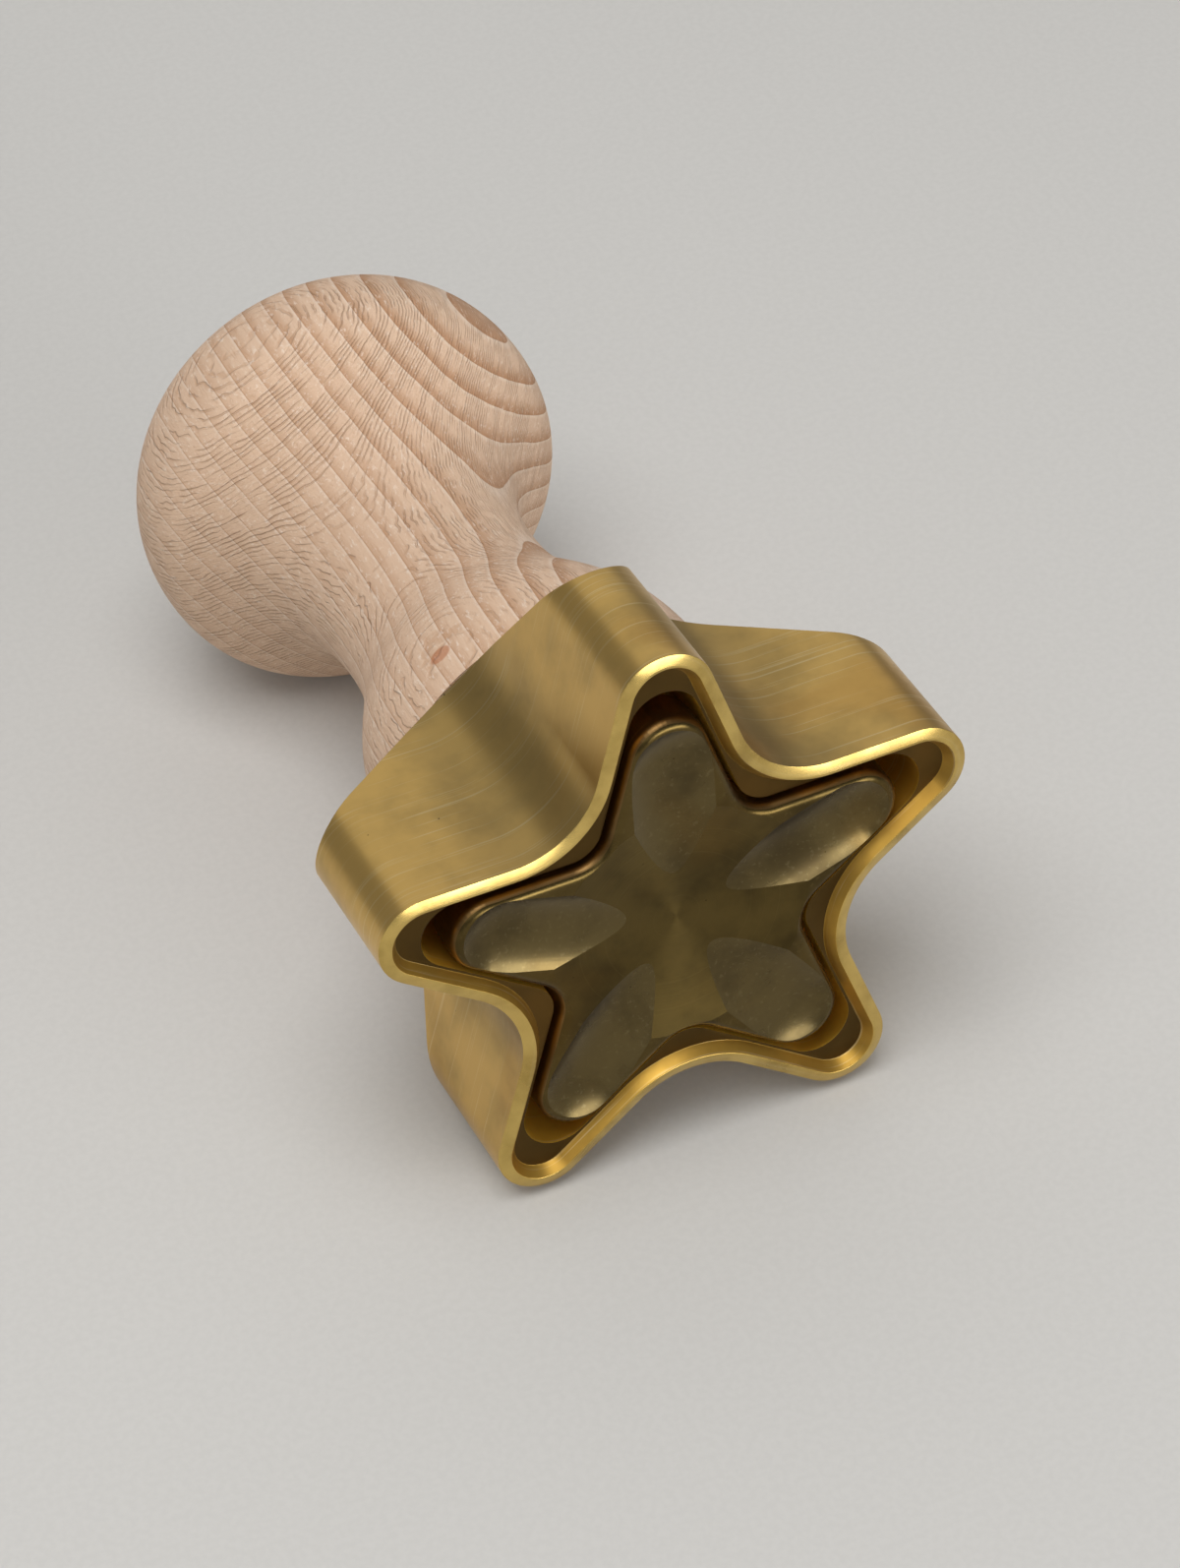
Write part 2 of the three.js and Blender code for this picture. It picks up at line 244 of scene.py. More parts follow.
@dataclass(frozen=True)
class Brass:
    """Brass with clouds of tarnish, fine light lines and a few dark pits.

    A finish can also have grime towards the axis, which also darkens its valleys as painted shade, or the rings
    of a lathe. Sizes are millimetres. A band holds the values of a pattern at which none of its colour and
    the full share of it show.
    """

    name: str
    metal: str
    film: str
    film_share: float
    roughness: float
    film_band: Band = (0.38, 0.72)
    cloud: float = 11.0
    glow_scale: float = 1.6
    warm: str = "#B98335"
    warm_share: float = 0.3
    warm_band: Band = (0.5, 0.72)
    brush: Triple = (26.0, 26.0, 0.35)
    scratch: str = "#EFE3B8"
    scratch_share: float = 0.3
    scratch_band: Band = (0.57, 0.68)
    line_depth: float = 0.004
    ring_spread: float = 0.0
    grime_and_shade: str = "#5C553C"
    grime_and_shade_share: float = 0.0
    grime_and_shade_band: Band = (30.0, 24.5)
    grime_and_shade_waver: float = 9.0
    pit: str = "#3A2E16"
    pit_share: float = 0.75
    pit_spacing: float = 4.2
    pit_radius: float = 0.14
    roughness_swing: float = 0.06

    def material(self, place: Placement) -> bpy.types.Material:
        """Builds the finish.

        Args:
            place: Where the stamp lies.

        Returns:
            The material.
        """
        graph = ShaderGraph(self.name)
        space = graph.space(place)
        cloud = graph.grain(space, [self.cloud] * 3, Detail=4.0, Roughness=0.6)
        glow = graph.grain(space, [self.cloud * self.glow_scale] * 3, Detail=2.0, Distortion=0.5)
        lines = graph.grain(self.line_space(graph, space), self.brush, Detail=3.0, Roughness=0.7)
        cells = {"Vector": space, "Scale": 1 / self.pit_spacing}
        pits = graph.add("ShaderNodeTexVoronoi", cells, "Distance")
        pit_edge = self.pit_radius / self.pit_spacing
        colour = graph.tint(linear(self.metal), self.film, cloud, self.film_band, self.film_share)
        colour = graph.tint(colour, self.warm, glow, self.warm_band, self.warm_share)
        colour = graph.tint(colour, self.scratch, lines, self.scratch_band, self.scratch_share)
        # Grime and painted shade: the walls darken towards the axis, in the valleys, where it also stands in for
        # their darker reflection.
        if self.grime_and_shade_share:
            edge = {0: glow, 1: self.grime_and_shade_waver, 2: graph.axis_distance(space)}
            reach = graph.add("ShaderNodeMath", edge, operation="MULTIPLY_ADD")
            colour = graph.tint(colour, self.grime_and_shade, reach, self.grime_and_shade_band, self.grime_and_shade_share)
        colour = graph.tint(colour, self.pit, pits, (pit_edge, pit_edge / 2), self.pit_share)
        roughness = graph.add("ShaderNodeMapRange", {
            **NOISE_RANGE,
            "Value": cloud,
            "To Min": self.roughness - self.roughness_swing,
            "To Max": self.roughness + self.roughness_swing,
        })
        relief = graph.add("ShaderNodeBump", {"Height": lines, "Distance": self.line_depth * MM})
        graph.feed(graph.surface, {
            "Base Color": colour,
            "Metallic": 1.0,
            "Roughness": roughness,
            "Anisotropic": self.ring_spread,
            "Normal": relief,
        })
        if self.ring_spread:
            source = graph.add("ShaderNodeTexCoord", {}, "Object")
            outward = graph.add("ShaderNodeVectorMath", {0: source, 1: place.rim}, operation="SUBTRACT")
            graph.feed(graph.surface, {"Tangent": outward})
        return graph.material

    def line_space(self, graph: ShaderGraph, space: Socket) -> Socket:
        """Says where the lines are drawn: as rings about the axis on a turned face, else straight.

        Args:
            graph: The material's graph.
            space: Upright millimetres.

        Returns:
            Coordinates whose Z runs across the lines.
        """
        if not self.ring_spread:
            return space
        return graph.add("ShaderNodeCombineXYZ", {"Z": graph.axis_distance(space)})


# Drawn steel: neutral grey, with a soft streak of light along the rod or wire. The real drawing lines are
# finer than a render shows, so they are drawn 0.3 mm wide.
@dataclass(frozen=True)
class DrawnSteel:
    """Drawn steel: neutral grey metal with fine lines along the drawing direction."""

    name: str = "bright drawn steel"
    dark: str = "#85888A"
    light: str = "#B9BBBC"
    light_band: Band = (0.35, 0.65)
    line: Triple = (0.3, 0.3, 14.0)
    roughness: float = 0.32
    roughness_swing: float = 0.1

    def material(self, place: Placement) -> bpy.types.Material:
        """Builds the finish.

        Args:
            place: Where the stamp lies.

        Returns:
            The material.
        """
        graph = ShaderGraph(self.name)
        lines = graph.grain(graph.space(place), self.line, Detail=2.0)
        roughness = graph.add("ShaderNodeMapRange", {
            **NOISE_RANGE,
            "Value": lines,
            "To Min": self.roughness,
            "To Max": self.roughness + self.roughness_swing,
        })
        graph.feed(graph.surface, {
            "Base Color": graph.tint(linear(self.dark), self.light, lines, self.light_band, 1.0),
            "Metallic": 1.0,
            "Roughness": roughness,
        })
        return graph.material


# Raw beech, turned and sanded: matt pinkish wood, on which the growth layers read as nested curves and the
# rays as short dashes. The real fibres are finer than a render shows, so they are drawn 0.3 mm wide.
@dataclass(frozen=True)
class RawBeech:
    """Raw turned beech, cut from a block beside the heart of the tree.

    It has growth layers round the pith, rays that run out from it, fibres along the grain, raised fuzz and
    one rust-brown ray fleck. Its late wood shows more strongly towards the pith: partly the wood's own browner
    side, partly painted shade on that side of the knob. The places of the pith and the fleck are upright
    millimetres. Sizes are millimetres round the pith, out from it and along the grain. A band holds the
    values of a pattern at which none of its colour and the full share of it show.
    """

    name: str = "raw turned beech"
    pale: str = "#DEBEA2"
    late_wood: str = "#B58661"
    ray: str = "#B48259"
    fuzz: str = "#F6E6D6"
    rust: str = "#B4693C"
    pith: Triple = (54.8, -53.3, 60.0)
    grain: Triple = (0.0487, 0.0375, 1.0)
    layer: float = 2.365
    layer_radius: float = 70.95
    layer_thinning: float = 0.00533
    layer_start: float = 0.25
    layer_waver: float = 0.3
    layer_waver_size: Triple = (9.0, 9.0, 30.0)
    layer_height: float = 0.35
    # Late wood shows more towards the pith: partly the wood's own browner side, partly painted shade.
    late_and_shade_fade: Band = (58.0, 84.0)
    late_band: Band = (0.4, 0.98)
    late_and_shade_share: Band = (0.85, 0.14)
    late_line_band: Band = (0.92, 0.98)
    late_line_share: float = 0.5
    early_band: Band = (0.16, 0.02)
    early_share: float = 0.35
    ray_spacing: float = 0.4
    ray_waver: float = 1.6
    ray_waver_size: Triple = (2.0, 4.0, 1.6)
    ray_edge: Band = (0.2, 0.04)
    ray_size: Triple = (0.9, 8.0, 2.4)
    ray_gap_band: Band = (0.38, 0.58)
    ray_gap_show: float = 0.08
    ray_patch: float = 7.0
    ray_patch_band: Band = (0.4, 0.65)
    ray_patch_show: Band = (0.6, 0.85)
    ray_band: Band = (0.0, 1.0)
    ray_share: float = 0.36
    ray_depth: float = 1.25
    fibre_size: Triple = (0.3, 0.3, 5.0)
    fibre_band: Band = (0.48, 0.3)
    fibre_share: float = 0.3
    fuzz_size: Triple = (0.3, 0.5, 1.3)
    fuzz_band: Band = (0.54, 0.68)
    fuzz_share: float = 0.55
    fleck: Triple = (-10.6, -15.6, 32.4)
    fleck_half: Triple = (1.2, 1.35, 0.95)
    fleck_band: Band = (1.05, 0.8)
    fleck_share: float = 0.6
    relief: float = 0.14
    roughness: float = 0.62
    roughness_swing: float = 0.12
    specular: float = 0.3

    @property
    def pith_distance(self) -> float:
        """Distance from the pith to the handle's axis."""
        return Vector(self.pith).xy.length

    def axes(self) -> Matrix:
        """Lays out the block of wood.

        Returns:
            Its axes: out from the pith through the handle, round the pith, and along the grain.
        """
        along = Vector(self.grain).normalized()
        out = -Vector(self.pith)
        out = (out - along * out.dot(along)).normalized()
        return Matrix((out, along.cross(out), along))

    def block_place(self, point: Vector) -> Vector:
        """Finds an upright point in the block.

        Args:
            point: The point in upright millimetres.

        Returns:
            Its place round the pith, out from it, and along the grain.
        """
        block = self.axes() @ (point - Vector(self.pith))
        angle = math.atan2(block.y, block.x)
        return Vector((angle * self.pith_distance, block.xy.length, block.z))

    def block_space(self, graph: ShaderGraph, place: Placement) -> Socket:
        """Gives the surface point's place in the block, as block_place does.

        Args:
            graph: The material's graph.
            place: Where the stamp lies.

        Returns:
            Millimetres round the pith, out from it, and along the grain.
        """
        block = graph.space(place, self.axes(), Vector(self.pith))
        split = {"Vector": block}
        out, across, along = [graph.add("ShaderNodeSeparateXYZ", split, name) for name in "XYZ"]
        angle = graph.add("ShaderNodeMath", {0: across, 1: out}, operation="ARCTAN2")
        around = graph.add("ShaderNodeMath", {0: angle, 1: self.pith_distance}, operation="MULTIPLY")
        return graph.add("ShaderNodeCombineXYZ", {"X": around, "Y": graph.axis_distance(block), "Z": along})

    def material(self, place: Placement) -> bpy.types.Material:
        """Builds the finish.

        Args:
            place: Where the stamp lies.

        Returns:
            The material.
        """
        graph = ShaderGraph(self.name)
        space = self.block_space(graph, place)
        radius = graph.add("ShaderNodeSeparateXYZ", {"Vector": space}, "Y")
        phase = self.layer_phase(graph, space, radius)
        # Late wood shows more towards the pith: partly the wood's own browner side, partly painted shade on that
        # side of the knob.
        late_and_shade_share = graph.add("ShaderNodeMapRange", {
            "Value": radius,
            "From Min": self.late_and_shade_fade[0],
            "From Max": self.late_and_shade_fade[1],
            "To Min": self.late_and_shade_share[0],
            "To Max": self.late_and_shade_share[1],
        })
        rays = self.ray_lines(graph, space)
        fibres = graph.grain(space, self.fibre_size, Detail=3.0, Roughness=0.65)
        fuzz = graph.grain(space, self.fuzz_size, Detail=4.0, Roughness=0.75)
        colour = linear(self.pale)
        for second, pattern, band, share in (
            (self.late_wood, phase, self.late_band, late_and_shade_share),
            (self.late_wood, phase, self.late_line_band, self.late_line_share),
            (self.fuzz, phase, self.early_band, self.early_share),
            (self.ray, rays, self.ray_band, self.ray_share),
            (self.late_wood, fibres, self.fibre_band, self.fibre_share),
            (self.fuzz, fuzz, self.fuzz_band, self.fuzz_share),
            (self.rust, self.fleck_reach(graph, space), self.fleck_band, self.fleck_share),
        ):
            colour = graph.tint(colour, second, pattern, band, share)
        grooved = {0: rays, 1: -self.ray_depth, 2: fuzz}
        height = graph.add("ShaderNodeMath", grooved, operation="MULTIPLY_ADD")
        layered = {0: phase, 1: self.layer_height, 2: height}
        height = graph.add("ShaderNodeMath", layered, operation="MULTIPLY_ADD")
        roughness = graph.add("ShaderNodeMapRange", {
            **NOISE_RANGE,
            "Value": fibres,
            "To Min": self.roughness,
            "To Max": self.roughness + self.roughness_swing,
        })
        graph.feed(graph.surface, {
            "Base Color": colour,
            "Roughness": roughness,
            "Specular IOR Level": self.specular,
            "Normal": graph.add("ShaderNodeBump", {"Height": height, "Distance": self.relief * MM}),
        })
        return graph.material

    def layer_phase(self, graph: ShaderGraph, space: Socket, radius: Socket) -> Socket:
        """Says how far a point lies through its growth layer. The layers get thinner outwards.

        Args:
            graph: The material's graph.
            space: Place in the block.
            radius: Distance from the pith.

        Returns:
            A value that rises from 0 to 1 through each layer.
        """
        beyond = graph.add("ShaderNodeMath", {0: radius, 1: self.layer_radius}, operation="SUBTRACT")
        mean = {0: beyond, 1: self.layer_thinning / 2 / self.layer, 2: 1 / self.layer}
        density = graph.add("ShaderNodeMath", mean, operation="MULTIPLY_ADD")
        layers = {0: beyond, 1: density, 2: -self.layer_start}
        count = graph.add("ShaderNodeMath", layers, operation="MULTIPLY_ADD")
        waver = graph.grain(space, self.layer_waver_size, Detail=2.0)
        wavered = {0: waver, 1: self.layer_waver, 2: count}
        count = graph.add("ShaderNodeMath", wavered, operation="MULTIPLY_ADD")
        return graph.add("ShaderNodeMath", {0: count}, operation="FRACT")

    def ray_lines(self, graph: ShaderGraph, space: Socket) -> Socket:
        """Draws the rays: thin upright plates, cut to dashes across them and to wavy ovals along them.

        Args:
            graph: The material's graph.
            space: Place in the block.

        Returns:
            How much a ray shows, from 0 to 1.
        """
        around = graph.add("ShaderNodeSeparateXYZ", {"Vector": space}, "X")
        count = graph.add("ShaderNodeMath", {0: around, 1: self.ray_spacing}, operation="DIVIDE")
        waver = graph.grain(space, self.ray_waver_size, Detail=1.5)
        wavered = {0: waver, 1: self.ray_waver, 2: count}
        count = graph.add("ShaderNodeMath", wavered, operation="MULTIPLY_ADD")
        beside = graph.add("ShaderNodeMath", {0: count, 1: 0.5}, operation="PINGPONG")
        patch = graph.add("ShaderNodeMapRange", {
            "Value": graph.grain(space, [self.ray_patch] * 3, Detail=1.0),
            "From Min": self.ray_patch_band[0],
            "From Max": self.ray_patch_band[1],
            "To Min": self.ray_patch_show[0],
            "To Max": self.ray_patch_show[1],
        })
        broken = graph.add("ShaderNodeMapRange", {
            "Value": graph.grain(space, self.ray_size, Detail=1.0),
            "From Min": self.ray_gap_band[0],
            "From Max": self.ray_gap_band[1],
            "To Min": self.ray_gap_show,
            "To Max": patch,
        }, interpolation_type="SMOOTHSTEP")
        return graph.add("ShaderNodeMapRange", {
            "Value": beside,
            "From Min": self.ray_edge[0],
            "From Max": self.ray_edge[1],
            "To Min": 0.0,
            "To Max": broken,
        }, interpolation_type="SMOOTHSTEP")

    def fleck_reach(self, graph: ShaderGraph, space: Socket) -> Socket:
        """Measures from the one ray plate on the flare that has turned rust brown.

        Args:
            graph: The material's graph.
            space: Place in the block.

        Returns:
            Distance from its middle, 1 at its edge.
        """
        middle = self.block_place(Vector(self.fleck))
        scale = [1 / half for half in self.fleck_half]
        shift = [-at * times for at, times in zip(middle, scale)]
        near = graph.add("ShaderNodeMapping", {"Vector": space, "Scale": scale, "Location": shift})
        return graph.add("ShaderNodeVectorMath", {0: near}, "Value", operation="LENGTH")


# Satin brushed brass, a little dulled: broad soft reflections, olive gold, with lines parallel to the rim
# and greyer grime in the valleys, which also darkens them as painted shade in place of their darker
# reflection. The real lines of this and the other brass finishes are finer than a render shows, so they
# are drawn 0.3 to 0.4 mm wide.
WALL_BRASS = Brass("satin brushed brass", "#D7B167", "#86744A", 0.45, 0.34, grime_and_shade_share=0.35)

# Freshly cut brass of the rim: cleaner than the walls, with tighter reflections.
RIM_BRASS = Brass("cut brass rim", "#D6B86C", "#8C7238", 0.6, 0.24, cloud=7.0, warm_share=0.1,
                  scratch_share=0.1)

# The milled slope inside the lip, rubbed yellow by dough, and darker than the rim as painted shade.
SHADED_LIP_BRASS = Brass("milled lip brass in painted shade", "#C29A46", "#8A6C32", 0.6, 0.46, warm_share=0.15)

# The flat ledge inside the lip: brown olive, darkened as painted shade, with no bright lines.
SHADED_LEDGE_BRASS = Brass("ledge brass in painted shade", "#54401F", "#3E2F15", 0.6, 0.42, warm_share=0.1,
                    scratch_share=0.0)

# Brass inside the pocket, left rough by the mill: warm yellow that glows where the light gets in.
POCKET_BRASS = Brass("rough-milled pocket brass", "#F2C34A", "#CF9A2E", 0.5, 0.6)

# The plate's face, darkened by dough and water and further as painted shade: brown olive, with a soft dull
# shine and a fine matt speckle.
PATINA_AND_SHADE_PLATE_BRASS = Brass("milled brass darkened by patina and painted shade", "#5F4F2C", "#3B3019", 0.8, 0.27, cloud=10.0, warm="#62491F",
                    warm_share=0.35, brush=(0.8, 0.8, 0.8), scratch="#9C8A5C", scratch_share=0.1,
                    pit_spacing=3.1, pit_radius=0.12)

# The plate's sides and rounded edge, rubbed brown by the pocket.
SIDE_BRASS = Brass("rubbed brown brass", "#765C38", "#4E3A20", 0.6, 0.36, cloud=6.0, brush=(9.0, 9.0, 0.4),
                   scratch="#C9A468", scratch_share=0.2)

# The turned dish, darkened too, by patina and as painted shade: fine rings spread its shine along the radius.
PATINA_AND_SHADE_DISH_BRASS = Brass("turned brass darkened by patina and painted shade", "#61512C", "#3C311A", 0.75, 0.35, cloud=10.0, warm="#62491F",
                   warm_share=0.35, brush=(1.0, 1.0, 0.3), scratch="#9C8A5C", scratch_share=0.12,
                   line_depth=0.02, ring_spread=0.85, pit_spacing=3.1, pit_radius=0.12)

# The petals' ball-milled grooves, a little greyer than the plate round them and darkened like it, by patina
# and as painted shade.
PATINA_AND_SHADE_PETAL_BRASS = Brass("ball-milled brass darkened by patina and painted shade", "#685A3A", "#463B26", 0.75, 0.27, cloud=9.0,
                    warm="#6B5328", brush=(0.6, 0.6, 0.6), scratch="#B3A67F", scratch_share=0.1,
                    pit_spacing=2.4, pit_radius=0.12)

# Turned brass of the hidden fittings: lines run round the axis.
FITTING_BRASS = Brass("turned brass", "#D3B76C", "#A88C4A", 0.5, 0.3, brush=(9.0, 9.0, 0.3))


class Meshes:
    """Steps that the modelled pieces share."""

    @staticmethod
    def turn(bm: Shell, steps: int) -> None:
        """Spins a profile once round the stamp's axis, and merges its seam and its points on the axis."""
        bmesh.ops.spin(bm, geom=[*bm.verts, *bm.edges], cent=ORIGIN, axis=AXIS, angle=2 * math.pi,
                       steps=steps, use_merge=True)
        bmesh.ops.remove_doubles(bm, verts=bm.verts[:], dist=TOLERANCE)

    @staticmethod
    def cap(bm: Shell) -> list[bmesh.types.BMFace]:
        """Closes the open ends of a shell, and gives the new faces."""
        ends = [edge for edge in bm.edges if edge.is_boundary]
        return bmesh.ops.holes_fill(bm, edges=ends, sides=0)["faces"]

    @staticmethod
    def round_edges(bm: Shell, edges: list[bmesh.types.BMEdge], width: float, steps: int) -> None:
        """Rounds some edges of a shell to a width, in a number of steps."""
        bmesh.ops.bevel(bm, geom=edges, offset=width, affect="EDGES", segments=steps, profile=0.5,
                        material=-1, clamp_overlap=True)

    @staticmethod
    def to_piece(bm: Shell, name: str, place: Placement) -> Piece:
        """Turns a finished mesh in upright millimetres into an object whose place is in its mesh.

        Args:
            bm: The mesh, which is freed.
            name: Name of the new object.
            place: Where the stamp lies.

        Returns:
            The new object, at the origin.
        """
        bmesh.ops.recalc_face_normals(bm, faces=bm.faces[:])
        bm.transform(place.matrix())
        mesh = bpy.data.meshes.new(name)
        bm.to_mesh(mesh)
        bm.free()
        piece = bpy.data.objects.new(name, mesh)
        bpy.context.scene.collection.objects.link(piece)
        return piece

    @staticmethod
    def shade(piece: Piece, crease: float) -> None:
        """Shades a piece smooth, with its broad faces kept true.

        Args:
            piece: The piece.
            crease: Angle past which an edge stays sharp.
        """
        piece.data.shade_smooth()
        piece.data.set_sharp_from_angle(angle=crease)
        weighted = piece.modifiers.new("broad faces kept true", "WEIGHTED_NORMAL")
        weighted.keep_sharp = True

    @staticmethod
    def enter(piece: Piece, node: str, body: Body, slot: Slot) -> None:
        """Puts a piece in the place of a CAD node.

        Args:
            piece: The piece.
            node: The node that it stands for.
            body: The body that it rides on.
            slot: The record's material slot. It is not used.
        """
        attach(piece, body.value)
        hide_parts(node)


@dataclass(frozen=True)
class StarSize:
    """The cutter's star: its tip and valley circles and their rounds."""

    points: int = 5
    tip_radius: float = 33.0
    valley_radius: float = 19.2
    tip_round: float = 5.1
    valley_round: float = 9.8
    arc_steps: int = 20

    @property
    def half(self) -> float:
        """Angle from a tip to the next valley."""
        return math.pi / self.points

    @property
    def stations(self) -> int:
        """Number of points round an outline."""
        return 2 * self.points * (self.arc_steps + 1)

    def side(self) -> tuple[float, float]:
        """Finds the straight side beside a tip.

        Returns:
            The angle of its normal from the tip's own line, and its distance from the axis.
        """
        tip = Vector((self.tip_radius - self.tip_round, 0.0))
        reach = self.valley_radius + self.valley_round
        across = Vector((reach * math.cos(self.half), reach * math.sin(self.half))) - tip
        lean = math.acos((self.tip_round + self.valley_round) / across.length)
        normal = math.atan2(across.y, across.x) - lean
        return normal, tip.x * math.cos(normal) + self.tip_round


@dataclass(frozen=True)
class StarOutline:
    """A star whose straight sides lie inset from the cutter's own, with its own tip and valley rounds."""

    size: StarSize
    inset: float
    tip_round: float
    valley_round: float

    def point(self, station: int) -> Vector:
        """Places a station. The stations of a fifth run round its tip and then round its valley.

        Args:
            station: The station's number.

        Returns:
            Where it lies, at height 0.
        """
        normal, distance = self.size.side()
        half = self.size.half
        arc = self.size.arc_steps + 1
        fifth, step = divmod(station, 2 * arc)
        tip = -math.pi / 2 + 2 * half * fifth
        share = (step % arc) / self.size.arc_steps
        if step < arc:
            reach = (distance - self.inset - self.tip_round) / math.cos(normal)
            angle = tip + normal * (2 * share - 1)
            return self.polar(reach, tip) + self.polar(self.tip_round, angle)
        reach = (distance - self.inset + self.valley_round) / math.cos(normal - half)
        valley = tip + half
        angle = valley + math.pi + (half - normal) * (2 * share - 1)
        return self.polar(reach, valley) + self.polar(self.valley_round, angle)

    @staticmethod
    def polar(radius: float, angle: float) -> Vector:
        """A point at an angle on a circle about the axis."""
        return Vector((radius * math.cos(angle), radius * math.sin(angle), 0.0))


@dataclass(frozen=True)
class RoundOutline:
    """A circle with a point on the same ray from the axis as each station of a star."""

    star: StarOutline
    radius: float

    def point(self, station: int) -> Vector:
        """Where a station lies."""
        return self.star.point(station).normalized() * self.radius


@dataclass(frozen=True)
class Section:
    """One ring of a body: its outline, its height at a radius, and the finish of the strip before it."""

    outline: StarOutline | RoundOutline
    height: Callable[[float], float]
    finish: int = 0

    def point(self, station: int) -> Vector:
        """Where a station lies."""
        flat = self.outline.point(station)
        return Vector((flat.x, flat.y, self.height(flat.length)))


def level(height: float) -> Callable[[float], float]:
    """A section's height that is the same at every radius."""
    return lambda radius: height


def ringed_body(sections: Sequence[Section], stations: int) -> Shell:
    """Carries a ring of stations through a row of sections.

    Args:
        sections: The rings in order.
        stations: Number of points on each ring.

    Returns:
        The open or closed shell, with each strip's finish set on its faces.
    """
    bm = bmesh.new()
    bmesh.ops.create_circle(bm, segments=stations, radius=1.0)
    number = bm.verts.layers.int.new("station")
    for index, vert in enumerate(bm.verts):
        vert[number] = index
        vert.co = sections[0].point(index)
    edges = bm.edges[:]
    for section in sections[1:]:
        known = set(bm.faces)
        grown = bmesh.ops.extrude_edge_only(bm, edges=edges)["geom"]
        edges = [item for item in grown if isinstance(item, bmesh.types.BMEdge)]
        for item in grown:
            if isinstance(item, bmesh.types.BMVert):
                item.co = section.point(item[number])
        for face in set(bm.faces) - known:
            face.material_index = section.finish
    return bm


class CutterFace(IntEnum):
    """The cutter's surfaces that have a finish of their own."""

    WALL = 0
    RIM = 1
    LIP = 2
    LEDGE = 3
    POCKET = 4


@dataclass(frozen=True)
class CutterBody:
    """Brass star with a bevelled cutting rim, a sloped lip, a ledge, a deep pocket and a coned back."""

    place: Placement
    star: StarSize = StarSize()
    bevel_width: float = 1.0
    bevel_drop: float = 0.4
    land: float = 0.3
    slope_width: float = 0.8
    ledge_width: float = 0.3
    ledge_depth: float = 1.2
    opening_tip_round: float = 3.8
    opening_valley_round: float = 3.6
    tip_wall: float = 16.0
    length: float = 27.7
    seat_radius: float = 19.0
    pocket_floor: float = 14.5
    well_radius: float = 11.6
    well_end: float = 22.5
    spigot_hole: float = 8.3
    edge_round: float = 0.07
    edge_steps: int = 2
    edge_angle: float = math.radians(22)
    crease: float = math.radians(30)

    @property
    def lip(self) -> float:
        """Width from the wall to the lip's inner edge."""
        return self.bevel_width + self.land

    @property
    def opening_inset(self) -> float:
        """Width from the wall to the opening's edge."""
        return self.lip + self.slope_width + self.ledge_width

    def parallel(self, inset: float) -> StarOutline:
        """The star's own outline drawn in by a width."""
        return StarOutline(self.star, inset, self.star.tip_round - inset, self.star.valley_round + inset)

    def opening(self) -> StarOutline:
        """Outline of the pocket that the plate slides in."""
        return StarOutline(self.star, self.opening_inset, self.opening_tip_round, self.opening_valley_round)

    def cone(self, radius: float) -> float:
        """Height of the coned back at a radius."""
        slope = (self.length - self.tip_wall) / (self.star.tip_radius - self.seat_radius)
        return self.tip_wall + slope * (self.star.tip_radius - radius)

    def sections(self) -> list[Section]:
        """Lists the rings from the back edge round the rim, through the pocket and the bores, and back.

        Returns:
            The sections in order, the last one on the first.
        """
        wall = self.parallel(0.0)
        opening = self.opening()
        well = RoundOutline(wall, self.well_radius)
        bore = RoundOutline(wall, self.spigot_hole)
        seat = RoundOutline(wall, self.seat_radius)
        return [
            Section(wall, self.cone),
            Section(wall, level(self.bevel_drop), CutterFace.WALL),
            Section(self.parallel(self.bevel_width), level(0.0), CutterFace.RIM),
            Section(self.parallel(self.lip), level(0.0), CutterFace.RIM),
            Section(self.parallel(self.lip + self.slope_width), level(self.ledge_depth), CutterFace.LIP),
            Section(opening, level(self.ledge_depth), CutterFace.LEDGE),
            Section(opening, level(self.pocket_floor), CutterFace.POCKET),
            Section(well, level(self.pocket_floor), CutterFace.POCKET),
            Section(well, level(self.well_end), CutterFace.POCKET),
            Section(bore, level(self.well_end), CutterFace.POCKET),
            Section(bore, level(self.length), CutterFace.POCKET),
            Section(seat, level(self.length), CutterFace.WALL),
            Section(wall, self.cone, CutterFace.WALL),
        ]

    def build(self) -> Piece:
        """Models the body.

        Returns:
            The new piece.
        """
        bm = ringed_body(self.sections(), self.star.stations)
        bmesh.ops.remove_doubles(bm, verts=bm.verts[:], dist=TOLERANCE)
        bmesh.ops.recalc_face_normals(bm, faces=bm.faces[:])
        corners = [edge for edge in bm.edges if edge.calc_face_angle(0.0) > self.edge_angle]
        Meshes.round_edges(bm, corners, self.edge_round, self.edge_steps)
        return Meshes.to_piece(bm, "star_cutter", self.place)

    def dress(self, piece: Piece) -> None:
        """Gives the walls, the rim, the lip, the ledge and the pocket their brass.

        Args:
            piece: The modelled body.
        """
        for finish in (WALL_BRASS, RIM_BRASS, SHADED_LIP_BRASS, SHADED_LEDGE_BRASS, POCKET_BRASS):
            piece.data.materials.append(finish.material(self.place))
        Meshes.shade(piece, self.crease)
        Meshes.enter(piece, "cutter_body", Body.STAMP, Slot.CUTTER)


class PlateFace(IntEnum):
    """The plate's surfaces that have a finish of their own. A cut has the finish of its tool."""

    FRONT = 0
    SIDE = 1


